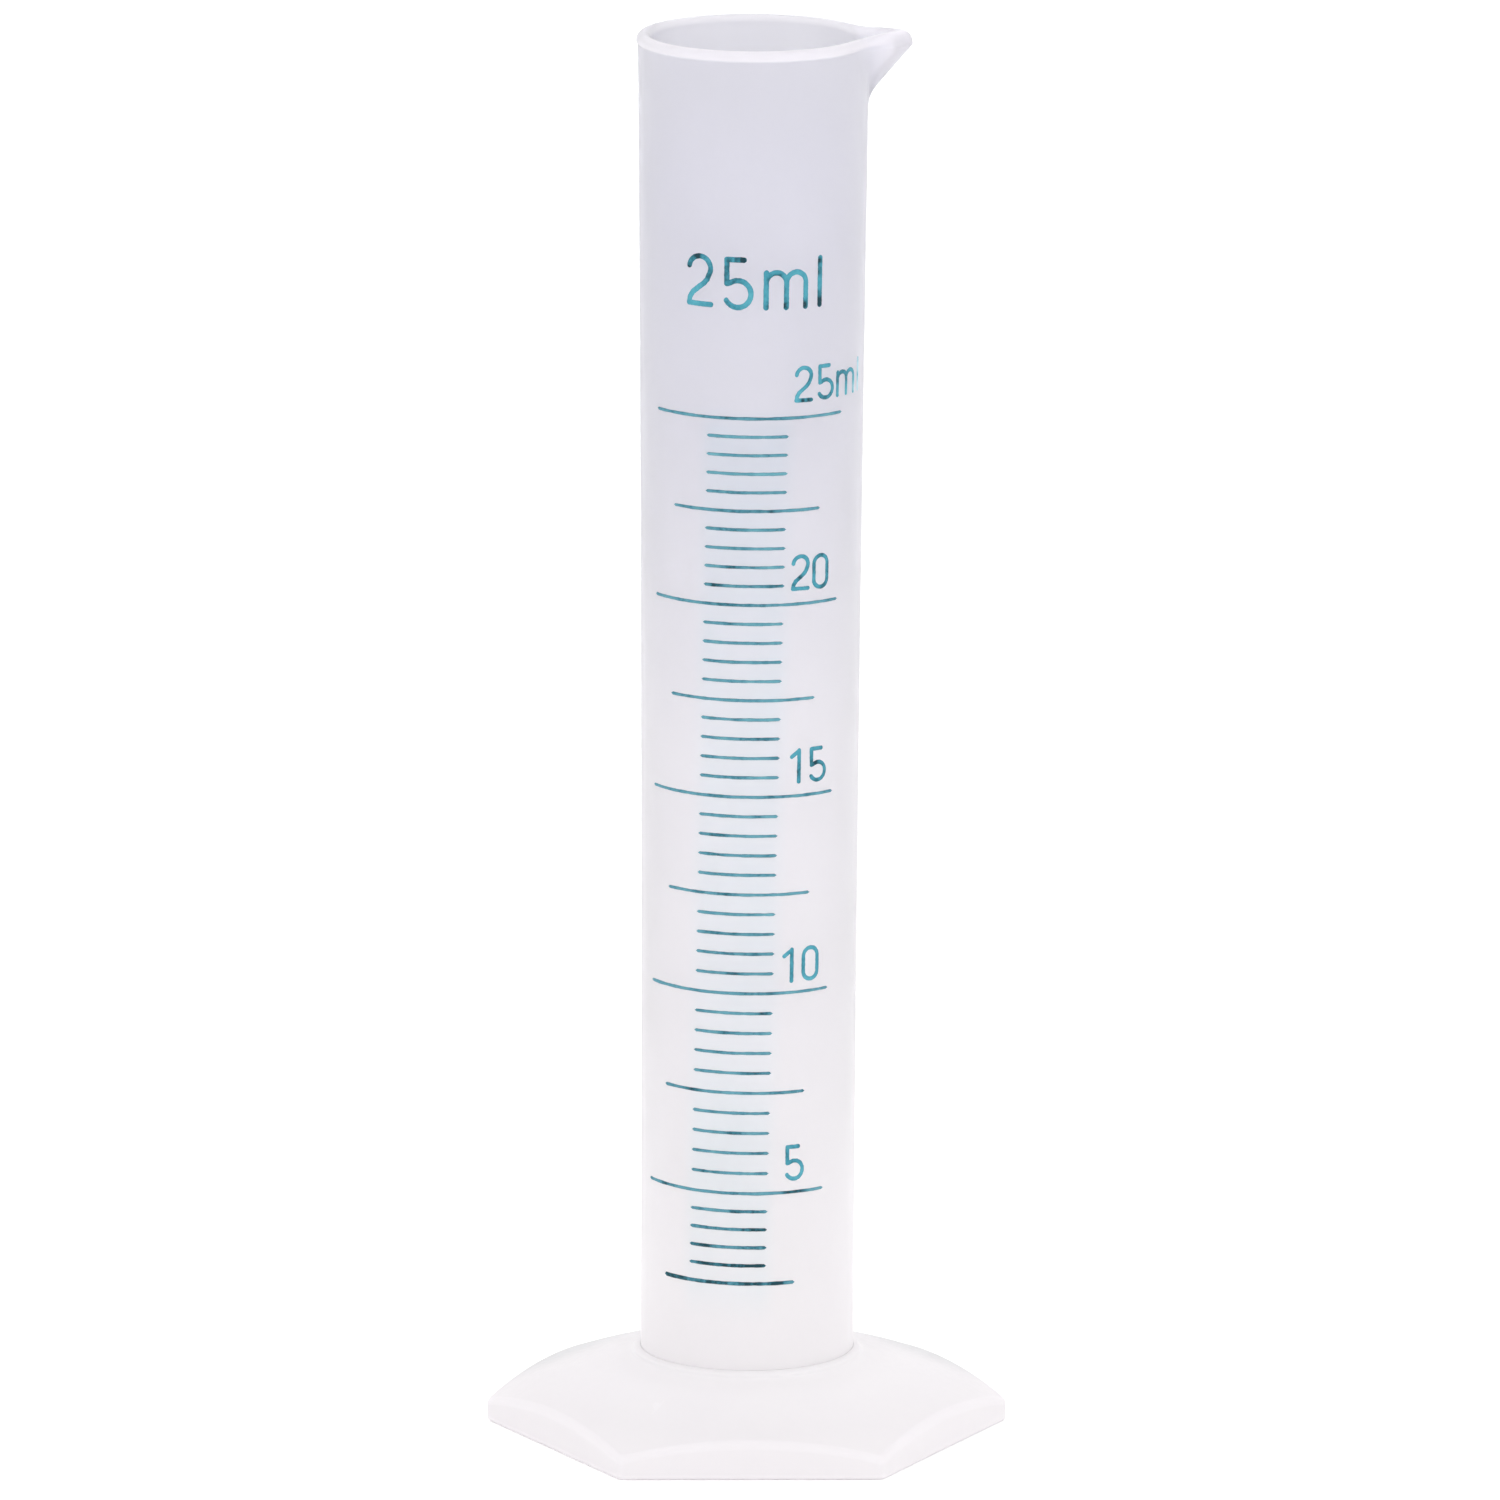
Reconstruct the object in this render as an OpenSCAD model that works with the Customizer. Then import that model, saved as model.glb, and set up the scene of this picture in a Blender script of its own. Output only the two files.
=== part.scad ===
// Graduated measuring cylinder, 25 ml, translucent polypropylene.
// The tube with its spout lifts straight up out of a push-on hexagonal foot.
// +Z is up, the origin is on the tube's axis at the resting face, the scale
// faces -Y and the spout points along +X.

/* [Tube] */
// Height of the rim above the resting face
rim_z = 137.3; // [134:0.1:140]
// Outer radius of the straight end that sits in the foot
seat_r = 10.36; // [10.2:0.02:10.5]
// Outer radius of the tube at the rim
rim_r = 11.08; // [10.9:0.02:11.3]
// Power of the draft curve: 1 is a straight taper, 2 opens mostly near the rim
draft_power = 1.95; // [1:0.05:2.5]
// Thickness of the tube wall at the rim
wall = 1.26; // [1.1:0.02:1.5]
// Radius of the bore near its floor, which leaves a thicker wall than at the rim
bore_end_r = 8.88; // [8.7:0.02:9]
// Power of the bore's own draft curve
bore_power = 1.65; // [1:0.05:2.5]
// Height of the inside floor above the resting face
bore_floor_z = 5.3; // [5:0.1:6]
// Thickness of the closed floor
floor_t = 1.5; // [1.2:0.1:1.8]
// Radius of the corner between floor and bore
floor_fillet = 1.5; // [0.8:0.1:2]
// Height at which the tube's end stands on the ledge inside the foot
seat_z = 2.2; // [2:0.1:2.6]
// Height up to which the seated end is a straight cylinder
seat_top_z = 8.6; // [8.2:0.1:10]

/* [Rim and spout] */
// How far the lip stands out from the tube
lip_proud = 0.16; // [0.1:0.02:0.3]
// Height of the lip
lip_h = 2.5; // [1.5:0.1:3.5]
// Distance of the spout's tip from the tube's axis
spout_reach = 15.2; // [14.2:0.1:16]
// Half width of the spout's V at its root, inside the tube wall
spout_half_w = 4.8; // [4.2:0.1:5.2]
// Depth of the spout's lower end below the rim
spout_depth = 6.3; // [5.5:0.1:7]
// How far the spout's edge sweeps up above the rim
spout_rise = 0.25; // [0.1:0.05:0.6]
// Radius of the spout's tip
spout_tip_r = 1.1; // [0.9:0.1:1.3]

/* [Foot] */
// Width of the hexagonal foot across its corners
foot_corners = 50.6; // [48:0.2:54]
// Rounding of the foot's six corners
foot_corner_r = 1; // [0.6:0.1:1.6]
// Radius of the domed top of the foot
dome_r = 57; // [54:0.5:60]
// Height that the dome would reach on the axis
dome_top_z = 8.05; // [7.8:0.05:8.4]
// Wall thickness of the foot
foot_wall = 1.5; // [1.2:0.1:1.8]
// Height of the collar round the socket's mouth
collar_z = 7.8; // [7.6:0.1:8.1]
// Radial clearance between tube and socket
socket_clear = 0.05; // [0.03:0.01:0.1]
// Radius of the hole through the ledge that the tube stands on
ledge_hole_r = 6; // [4:0.5:6.5]
// Height of the socket's lower face above the resting face
socket_bottom_z = 0.8; // [0.5:0.1:1]

/* [Printed scale] */
// Spacing of the half millilitre lines below the 5 ml line
low_pitch = 1.8; // [1.7:0.01:1.95]
// Thickness of a printed line
line_w = 0.31; // [0.25:0.01:0.45]
// Arc covered by the 5 ml lines
long_arc = 109.5; // [90:0.5:120]
// Arc covered by the 2.5 ml lines
half_arc = 81.5; // [60:0.5:88]
// Arc covered by the half millilitre lines
fine_arc = 42.8; // [30:0.2:50]
// Turn of the scale's centre towards +X at the 25 ml line
scale_turn = -3.1; // [-8:0.1:4]
// Turn of the scale's centre for each millimetre further down
scale_lean = 0.113; // [0:0.001:0.15]
// Slope of the printed lines, down to the right
scale_tilt = 0.45; // [0:0.05:1]
// Height of the numerals beside the scale
numeral_h = 3.5; // [3:0.05:4]
// Stroke of those numerals
numeral_stroke = 0.4; // [0.3:0.02:0.5]
// Height of the capacity mark
mark_h = 5.05; // [4.5:0.05:6]
// Stroke of the capacity mark
mark_stroke = 0.52; // [0.4:0.02:0.6]
// Height of the capacity mark's baseline above the 25 ml line
mark_rise = 10.5; // [9:0.1:12]
// Thickness of the ink
ink_t = 0.05; // [0.04:0.01:0.08]

/* [Hidden] */
$fn = 96;

pp_clear = [0.90, 0.89, 0.95, 0.62];
pp_milky = [0.94, 0.92, 0.94, 0.72];
teal = [0.12, 0.58, 0.68];

draft = rim_r - seat_r;
bore_draft = rim_r - wall - bore_end_r;
draft_len = rim_z - seat_top_z;
socket_r = seat_r + socket_clear;
ink_gap = 0.002;

// Outer radius of the tube at height z
function tube_r(z) = z <= seat_top_z ? seat_r
    : seat_r + draft * pow((z - seat_top_z) / draft_len, draft_power);

// Radius of the bore at height z
function bore_r(z) = z <= seat_top_z ? bore_end_r
    : bore_end_r + bore_draft * pow((z - seat_top_z) / draft_len, bore_power);

// Volume of the bore below height z, in millilitres
function bore_ml(z) =
    let (s = max(0, z - seat_top_z) / draft_len, p = bore_power)
    PI * (bore_end_r * bore_end_r * (z - bore_floor_z)
        + 2 * bore_end_r * bore_draft * draft_len * pow(s, p + 1) / (p + 1)
        + bore_draft * bore_draft * draft_len * pow(s, 2 * p + 1) / (2 * p + 1)) / 1000
    - (2 - PI / 2) * PI * floor_fillet * floor_fillet
        * (bore_end_r - 0.22 * floor_fillet) / 2 / 1000;

// Height at which the bore holds ml millilitres, by halving the interval
function height_of(ml, lo = bore_floor_z, hi = rim_z, n = 24) =
    n == 0 ? (lo + hi) / 2
    : bore_ml((lo + hi) / 2) < ml ? height_of(ml, (lo + hi) / 2, hi, n - 1)
    : height_of(ml, lo, (lo + hi) / 2, n - 1);

z_5 = height_of(5);
z_25 = height_of(25);

// Height of a graduation line: true to the bore from 5 ml up, even pitch below
function line_z(ml) = ml >= 5 ? height_of(ml) : z_5 - (5 - ml) * 2 * low_pitch;

// Turn of the scale's centre from -Y towards +X at height z
function scale_az(z) = scale_turn - (z_25 - z) * scale_lean;

// Points of a circular arc in the plane
function arc_pts(c, r, a0, a1, n) =
    [for (i = [0:n]) let (a = a0 + (a1 - a0) * i / n) [c.x + r * cos(a), c.y + r * sin(a)]];

// ---------------------------------------------------------------- tube

wall_steps = 16;
wall_top_z = rim_z - lip_h;

module tube_wall() {
    lip_r = rim_r + lip_proud;
    top_r = wall / 2 + lip_proud / 2;
    rotate_extrude() polygon(concat(
        [[bore_end_r - 0.2, seat_z], [seat_r - 0.5, seat_z], [seat_r, seat_z + 0.5]],
        [for (i = [0:wall_steps]) let (z = seat_top_z + (wall_top_z - seat_top_z) * i / wall_steps)
            [tube_r(z), z]],
        [[lip_r - 0.02, wall_top_z + 0.35]],
        arc_pts([lip_r - top_r, rim_z - top_r], top_r, 0, 90, 8),
        [[0, rim_z], [0, bore_floor_z - floor_t],
         [bore_end_r - 1, bore_floor_z - floor_t], [bore_end_r - 0.2, bore_floor_z - floor_t - 0.8]]));
}

// Space inside the tube, opening over a rounded edge at the mouth
module tube_bore() {
    top_r = wall / 2 + lip_proud / 2;
    rotate_extrude() polygon(concat(
        [[0, bore_floor_z]],
        arc_pts([bore_end_r - floor_fillet, bore_floor_z + floor_fillet], floor_fillet, -90, 0, 6),
        [for (i = [0:wall_steps]) let (z = seat_top_z + (wall_top_z - seat_top_z) * i / wall_steps)
            [bore_r(z), z]],
        arc_pts([rim_r - wall + top_r, rim_z - top_r], top_r, 180, 92, 6),
        [[rim_r - wall + top_r, rim_z + 2], [0, rim_z + 2]]));
}

// Beak of the spout, a rounded V that runs out into the tube below
module spout_beak() {
    nose_x = spout_reach - spout_tip_r;
    hull() {
        for (s = [-1, 1]) translate([8.4, s * spout_half_w, rim_z - 1]) cylinder(r = spout_tip_r, h = 1, $fn = 32);
        translate([nose_x, 0, rim_z - spout_tip_r]) sphere(r = spout_tip_r, $fn = 32);
        translate([nose_x - 1.3, 0, rim_z - 1]) cylinder(r = spout_tip_r + 0.4, h = 1 + spout_rise, $fn = 32);
        translate([10.4, 0, rim_z - spout_depth]) sphere(r = 0.5, $fn = 20);
    }
}

// Channel of the spout
module spout_channel() {
    hull() {
        for (s = [-1, 1]) translate([8.6, s * (spout_half_w - 1.55), rim_z - 0.8]) cylinder(r = 0.4, h = 2.8, $fn = 20);
        translate([spout_reach - 2.8, 0, rim_z - 1.2]) cylinder(r = 0.5, h = 3.2, $fn = 24);
        translate([9.2, 0, rim_z - spout_depth + 1.3]) sphere(r = 0.4, $fn = 20);
    }
}

module measuring_tube() {
    color(pp_clear) difference() {
        union() {
            tube_wall();
            spout_beak();
        }
        tube_bore();
        spout_channel();
    }
}

// ---------------------------------------------------------------- foot

module rounded_hexagon(corner_to_corner, r) {
    offset(r = r, $fn = 48) circle(r = corner_to_corner / 2 - r, $fn = 6);
}

module dome(drop = 0) {
    translate([0, 0, dome_top_z - dome_r]) sphere(r = dome_r - drop);
}

module hex_foot() {
    boss_r = socket_r + foot_wall;
    color(pp_milky) difference() {
        union() {
            // shell: hexagonal skirt under a domed top, hollow below
            difference() {
                intersection() {
                    linear_extrude(dome_top_z) rounded_hexagon(foot_corners, foot_corner_r);
                    dome();
                }
                intersection() {
                    translate([0, 0, -1]) linear_extrude(dome_top_z)
                        rounded_hexagon(foot_corners - 2 * foot_wall / cos(30), 0.5);
                    dome(foot_wall);
                }
            }
            // socket wall, with a collar that blends into the dome
            translate([0, 0, socket_bottom_z]) cylinder(r = boss_r, h = 5);
            rotate_extrude() polygon([[0, 5], [socket_r + 2.6, 5], [socket_r + 2.4, 6.6],
                [socket_r + 1.5, 6.95], [socket_r + 0.95, 7.3], [socket_r + 0.7, collar_z - 0.2],
                [socket_r + 0.5, collar_z], [0, collar_z]]);
        }
        // socket bore, its eased mouth, and the hole through the ledge
        translate([0, 0, seat_z]) cylinder(r = socket_r, h = 10);
        translate([0, 0, collar_z - 0.25]) cylinder(r1 = socket_r, r2 = socket_r + 0.3, h = 0.3);
        translate([0, 0, -1]) cylinder(r = ledge_hole_r, h = 8);
    }
}

// ---------------------------------------------------------------- print

// One printed line: a thin band round the wall, centred on the scale
module scale_line(ml, arc) {
    z = line_z(ml);
    r = tube_r(z) + ink_gap;
    translate([0, 0, z]) rotate([0, scale_tilt, 0])
        rotate([0, 0, -90 + scale_az(z) - arc / 2])
            rotate_extrude(angle = arc) translate([r, -line_w / 2]) square([ink_t, line_w]);
}

module scale_lines_5ml() {
    color(teal) for (ml = [5:5:25]) scale_line(ml, long_arc);
}

module scale_lines_2_5ml() {
    color(teal) for (ml = [2.5:5:22.5]) scale_line(ml, half_arc);
}

module scale_lines_0_5ml() {
    color(teal) for (half = [6:49]) if (half % 5 != 0) scale_line(half / 2, fine_arc);
}

// Strokes of the numerals, drawn on a plane: a straight bar and an arc, each
// with a round end where ends says so
module stroke_end(p, w) {
    translate(p) circle(d = 0.9 * w, $fn = 24);
}

module bar(p, q, w, ends = [1, 1]) {
    d = q - p;
    translate(p) rotate(atan2(d.y, d.x)) translate([0, -w / 2]) square([norm(d), w]);
    if (ends[0] == 1) stroke_end(p, w);
    if (ends[1] == 1) stroke_end(q, w);
}

module arc(c, r, a0, a1, w, ends = [1, 1]) {
    translate(c) intersection() {
        difference() {
            circle(r = r + w / 2, $fn = 48);
            circle(r = r - w / 2, $fn = 48);
        }
        polygon(concat([[0, 0]], arc_pts([0, 0], 2 * (r + w), a0, a1, 6)));
    }
    if (ends[0] == 1) stroke_end(c + r * [cos(a0), sin(a0)], w);
    if (ends[1] == 1) stroke_end(c + r * [cos(a1), sin(a1)], w);
}

// Plain numerals and letters of height h and stroke w, from x = 0
module glyph(c, h, w) {
    e = w / 2;
    if (c == "0") {
        r = 0.27 * h - e;
        for (x = [e, e + 2 * r]) bar([x, e + r], [x, h - e - r], w, [0, 0]);
        arc([e + r, h - e - r], r, 0, 180, w, [0, 0]);
        arc([e + r, e + r], r, 180, 360, w, [0, 0]);
    }
    if (c == "1") {
        bar([0.30 * h, e], [0.30 * h, h - e], w);
        bar([0.08 * h, 0.77 * h], [0.30 * h, h - 2 * e], w, [1, 0]);
    }
    if (c == "2") {
        r = 0.26 * h - e;
        cy = h - e - r;
        arc([e + r, cy], r, -38, 172, w);
        bar([e + r + r * cos(-38), cy + r * sin(-38)], [e, e], w, [0, 1]);
        bar([e, e], [0.52 * h - e, e], w, [0, 1]);
    }
    if (c == "5") {
        r = 0.3 * h - e;
        bar([0.09 * h, h - e], [0.46 * h, h - e], w);
        bar([0.09 * h, h - e], [0.03 * h + e, 0.50 * h], w, [0, 1]);
        arc([0.53 * h - e - r, e + r], r, -148, 120, w, [1, 0]);
    }
    if (c == "m") {
        r = 0.2 * h;
        top = 0.77 * h - e;
        bar([e, e], [e, top], w);
        for (i = [1, 2]) bar([e + 2 * r * i, e], [e + 2 * r * i, top - r], w, [1, 0]);
        for (i = [0, 1]) arc([e + r + 2 * r * i, top - r], r, 0, 180, w, [0, 0]);
    }
    if (c == "l") bar([e, e], [e, 0.97 * h], w);
}

// Advance from one character to the next, in heights
function advance(c) = c == "1" ? 0.58 : c == "m" ? 1.06 : c == "l" ? 0.3 : 0.72;
function offset_to(word, i) = i == 0 ? 0 : offset_to(word, i - 1) + advance(word[i - 1]);

// Ink skin between two heights
module ink_skin(z0, z1) {
    k = (tube_r(z1) - tube_r(z0)) / (z1 - z0);
    r0 = tube_r(z0) + ink_gap;
    translate([0, 0, z0]) difference() {
        cylinder(r1 = r0 + ink_t, r2 = r0 + ink_t + k * (z1 - z0), h = z1 - z0);
        translate([0, 0, -1]) cylinder(r1 = r0 - k, r2 = r0 + k * (z1 - z0 + 1), h = z1 - z0 + 2);
    }
}

// A word printed on the wall: u is the arc length from the scale's centre to
// the word's left edge, z its baseline, h its height and w its stroke
module printed_word(word, u, z, h, w) {
    r = tube_r(z + h / 2);
    intersection() {
        ink_skin(z - 0.6, z + h + 0.6);
        union() for (i = [0:len(word) - 1]) {
            half = advance(word[i]) * h / 2;
            az = scale_az(z) + (u + offset_to(word, i) * h + half) / r * 180 / PI;
            rotate([0, 0, az]) translate([0, -r + 1.5, z]) rotate([90, 0, 0])
                linear_extrude(3) rotate(-scale_tilt) translate([-half, 0]) glyph(word[i], h, w);
        }
    }
}

module scale_numerals() {
    color(teal) {
        // word, arc length from the scale's centre, rise above its line, volume
        for (n = [["5", 5.5, 0.88, 5], ["10", 4.66, 0.9, 10], ["15", 4.91, 1.12, 15], ["20", 4.65, 1.24, 20], ["25ml", 4.5, 1.4, 25]])
            printed_word(n[0], n[1], line_z(n[3]) + n[2], numeral_h, numeral_stroke);
    }
}

module capacity_mark() {
    color(teal) printed_word("25ml", -6.52, z_25 + mark_rise, mark_h, mark_stroke);
}

measuring_tube();
hex_foot();
scale_lines_5ml();
scale_lines_2_5ml();
scale_lines_0_5ml();
scale_numerals();
capacity_mark();
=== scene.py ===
import bpy
import bmesh
import math
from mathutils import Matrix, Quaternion, Vector, noise


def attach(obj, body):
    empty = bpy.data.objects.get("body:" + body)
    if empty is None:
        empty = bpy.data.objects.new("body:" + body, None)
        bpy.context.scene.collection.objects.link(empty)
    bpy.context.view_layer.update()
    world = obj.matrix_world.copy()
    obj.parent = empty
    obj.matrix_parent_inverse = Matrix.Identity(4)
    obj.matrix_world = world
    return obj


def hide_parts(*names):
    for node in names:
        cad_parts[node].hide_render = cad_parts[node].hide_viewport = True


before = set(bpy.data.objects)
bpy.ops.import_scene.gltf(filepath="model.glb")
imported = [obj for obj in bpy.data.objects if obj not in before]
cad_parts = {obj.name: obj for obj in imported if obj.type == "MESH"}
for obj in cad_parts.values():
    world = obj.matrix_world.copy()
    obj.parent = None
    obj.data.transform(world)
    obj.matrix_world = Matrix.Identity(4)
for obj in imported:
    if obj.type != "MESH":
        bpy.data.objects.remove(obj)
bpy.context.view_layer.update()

MM = 0.001
DEG = math.pi / 180.0

# ------------------------------------------------------------------ sizes, in mm, as the CAD has them
RIM_Z = 137.3
SEAT_R = 10.36
RIM_R = 11.08
DRAFT_P = 1.95
WALL = 1.26
BORE_R = 8.88
BORE_P = 1.65
FLOOR_Z = 5.3
FLOOR_T = 1.5
FILLET = 1.5
SEAT_Z = 2.2
SEAT_TOP = 8.6
LIP_PROUD = 0.16
LIP_H = 2.5
REACH = 15.2
SPOUT_HALF = 4.8
SPOUT_DEPTH = 6.3
SPOUT_RISE = 0.25
TIP_R = 1.1

DOME_R = 57.0
DOME_TOP = 8.05
FOOT_C = 25.3          # centre to corner, rounding included
FOOT_CR = 1.0          # rounding of the six corners
FOOT_WALL = 1.5
COLLAR_Z = 7.8
SOCKET_R = SEAT_R + 0.015
LEDGE_R = 6.0
BOSS_Z = 0.8


def tube_r(z):
    if z <= SEAT_TOP:
        return SEAT_R
    return SEAT_R + (RIM_R - SEAT_R) * ((z - SEAT_TOP) / (RIM_Z - SEAT_TOP)) ** DRAFT_P


def bore_r(z):
    if z <= SEAT_TOP:
        return BORE_R
    return BORE_R + (RIM_R - WALL - BORE_R) * ((z - SEAT_TOP) / (RIM_Z - SEAT_TOP)) ** BORE_P


def smooth(a, b, x):
    """0 up to x = a and 1 from x = b, eased between them. With a > b it falls."""
    t = min(1.0, max(0.0, (x - a) / (b - a)))
    return t * t * (3 - 2 * t)


def smax(a, b, k):
    """The larger of two lengths, with a fillet of about k where they cross."""
    h = max(k - abs(a - b), 0.0) / k
    return max(a, b) + h * h * k * 0.25


# ------------------------------------------------------------------ mesh helpers
def new_object(name, verts, faces, body, mats, loads=None):
    me = bpy.data.meshes.new(name)
    me.from_pydata([(x * MM, y * MM, z * MM) for x, y, z in verts], [], faces)
    me.validate()
    bm = bmesh.new()
    bm.from_mesh(me)
    bmesh.ops.recalc_face_normals(bm, faces=bm.faces)
    bm.to_mesh(me)
    bm.free()
    me.update()
    for p in me.polygons:
        p.use_smooth = True
    if loads:
        me.attributes.new("load", "FLOAT", "POINT").data.foreach_set("value", loads)
    for m in mats:
        me.materials.append(m)
    ob = bpy.data.objects.new(name, me)
    bpy.context.scene.collection.objects.link(ob)
    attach(ob, body)
    return ob


def loft(columns, closed_profile):
    """Quads between neighbouring columns of points, round the axis. Each column has the same number of points, and points on
    the axis are one pole that the columns share."""
    verts, index = [], []
    n = len(columns)
    rows = len(columns[0])
    pole = {}
    for i, col in enumerate(columns):
        ids = []
        for j, p in enumerate(col):
            r = math.hypot(p[0], p[1])
            if r < 1e-6:
                if j not in pole:
                    pole[j] = len(verts)
                    verts.append(p)
                ids.append(pole[j])
            else:
                ids.append(len(verts))
                verts.append(p)
        index.append(ids)
    faces = []
    last = rows if closed_profile else rows - 1
    for i in range(n):
        a, b = index[i], index[(i + 1) % n]
        for j in range(last):
            k = (j + 1) % rows
            quad = [a[j], b[j], b[k], a[k]]
            face = []
            for v in quad:
                if v not in face:
                    face.append(v)
            if len(face) > 2:
                faces.append(face)
    return verts, faces


def hull_ray(theta, circles):
    """Distance from the axis, along theta, to the outline of the convex hull of circles (x, y, r), or 0 where the ray misses
    it. The hull is symmetric about the X axis, with its tip at the first circle and its root at the second."""
    (x0, y0, r0), (x1, y1, r1) = circles
    c, s = math.cos(theta), abs(math.sin(theta))
    # outer tangent of tip and root circles on the +Y side
    dx, dy = x1 - x0, y1 - y0
    d = math.hypot(dx, dy)
    if d < 1e-6:
        return 0.0
    ang = math.atan2(dy, dx)
    off = math.acos(max(-1.0, min(1.0, (r0 - r1) / d)))
    n = (math.cos(ang - off), math.sin(ang - off))
    p0 = (x0 + r0 * n[0], y0 + r0 * n[1])
    p1 = (x1 + r1 * n[0], y1 + r1 * n[1])
    best = 0.0
    den = c * n[0] + s * n[1]
    if den > 1e-9:
        t = (p0[0] * n[0] + p0[1] * n[1]) / den
        y = t * s
        if min(p0[1], p1[1]) - 1e-9 <= y <= max(p0[1], p1[1]) + 1e-9:
            best = max(best, t)
    for (x, y, r) in circles:
        b = c * x + s * y
        disc = b * b - (x * x + y * y - r * r)
        if disc >= 0:
            t = b + math.sqrt(disc)
            px, py = t * c - x, t * s - y
            if (x, y, r) == circles[0]:
                a = math.atan2(py, px)
                if abs(a) <= abs(math.atan2(n[1], n[0])) + 1e-6:
                    best = max(best, t)
            else:
                best = max(best, t)
    return best


# ------------------------------------------------------------------ the measuring tube
Z_OUT_APEX = RIM_Z - SPOUT_DEPTH
Z_IN_APEX = RIM_Z - SPOUT_DEPTH + 1.3


def spout_outer(theta, z):
    """Radius of the beak's outside at height z, or 0 where there is none."""
    if abs(theta) > 42 * DEG:
        return 0.0
    t = (z - Z_OUT_APEX) / (RIM_Z - 1.1 - Z_OUT_APEX)
    if t <= -0.12:
        return 0.0
    t = min(1.0, t)
    tip = (10.2 + (REACH - TIP_R - 10.2) * t, 0.0, 0.55 + (TIP_R - 0.55) * t)
    root = (9.6 - 1.2 * t, 0.02 + (SPOUT_HALF - 0.02) * t, 0.5 + (TIP_R - 0.5) * t)
    return hull_ray(theta, [tip, root])


def spout_inner(theta, z):
    if abs(theta) > 42 * DEG:
        return 0.0
    t = (z - Z_IN_APEX) / (RIM_Z - 1.2 - Z_IN_APEX)
    if t <= -0.1:
        return 0.0
    t = min(1.0, t)
    tip = (9.2 + (REACH - 2.8 - 9.2) * t, 0.0, 0.45 + 0.05 * t)
    root = (8.8 - 0.2 * t, 0.02 + (SPOUT_HALF - 1.55 - 0.02) * t, 0.4)
    return hull_ray(theta, [tip, root])


def lip(z):
    return LIP_PROUD * (0.2 * smooth(RIM_Z - LIP_H, RIM_Z - 1.3, z) + 0.8 * smooth(RIM_Z - 1.06, RIM_Z - 0.78, z))


def outer_r(theta, z):
    return smax(tube_r(z) + lip(z), spout_outer(theta, z), 0.9)


def inner_r(theta, z):
    return smax(bore_r(z), spout_inner(theta, z), 0.7)


def tube_thetas():
    out = []
    a = -180.0
    while a < 180.0 - 1e-9:
        out.append(a * DEG)
        d = abs(a + 1e-9)
        step = 0.5 if d < 9 else 0.75 if d < 33 else 1.5 if d < 45 else 2.5
        nxt = a + step
        a = nxt
    return out


def tube_column(theta):
    c, s = math.cos(theta), math.sin(theta)
    pts = []          # (r, z), from the middle of the inside floor, up the bore, over the rim, down the outside, and underneath
    bore0 = BORE_R
    for i in range(9):
        pts.append(((bore0 - FILLET) * i / 8.0, FLOOR_Z))
    for i in range(1, 9):
        a = math.pi / 2 * i / 8.0
        pts.append((bore0 - FILLET + FILLET * math.sin(a), FLOOR_Z + FILLET * (1 - math.cos(a))))
    half = 0.71
    # height of the middle of the rounded rim, and how far the edge sweeps up on the spout
    r_out_top, r_in_top = outer_r(theta, RIM_Z - 0.8), inner_r(theta, RIM_Z - 0.8)
    w = smooth(RIM_R + LIP_PROUD + 0.2, REACH - 0.8, r_out_top)
    rise = SPOUT_RISE * w
    zc = RIM_Z - half - 0.25 * w
    low = [FLOOR_Z + FILLET + (128.5 - FLOOR_Z - FILLET) * (i / 34.0) for i in range(1, 35)]
    high = [128.5 + 7.1 * (i / 24.0) for i in range(1, 25)] + [135.6 + (zc - 135.6) * (i / 16.0) for i in range(1, 16)]
    for z in low + high:
        pts.append((inner_r(theta, z), z))
    ro, ri = outer_r(theta, zc), inner_r(theta, zc)
    rc, ra = (ro + ri) / 2, (ro - ri) / 2
    top = RIM_Z + rise - zc
    for i in range(17):
        a = math.pi * (1 - i / 16.0)
        # a superellipse keeps the thick nose of the spout full without a corner
        ca, sa = math.cos(a), math.sin(a)
        e = 1.0 - 0.12 * w
        pts.append((rc + ra * math.copysign(abs(ca) ** e, ca), zc + top * abs(sa) ** e))
    for z in reversed(high):
        pts.append((outer_r(theta, z), z))
    for z in reversed(low):
        pts.append((outer_r(theta, z), z))
    pts.append((SEAT_R, FLOOR_Z + FILLET))
    pts.append((SEAT_R, 4.6))
    ch = 0.5
    for i in range(0, 5):
        a = math.pi / 2 * i / 4.0
        pts.append((SEAT_R - ch + ch * math.cos(a), SEAT_Z + ch - ch * math.sin(a)))
    rb = 0.25
    ri2 = bore0 - 0.2
    for i in range(0, 4):
        a = math.pi / 2 * i / 3.0
        pts.append((ri2 + rb - rb * math.sin(a), SEAT_Z + rb - rb * math.cos(a)))
    zf = FLOOR_Z - FLOOR_T
    rf = 0.8
    for i in range(0, 5):
        a = math.pi / 2 * i / 4.0
        pts.append((ri2 - rf + rf * math.cos(a), zf - rf + rf * math.sin(a)))
    for i in range(1, 9):
        pts.append(((ri2 - rf) * (1 - i / 8.0), zf))
    return [(r * c, r * s, z) for r, z in pts]


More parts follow.
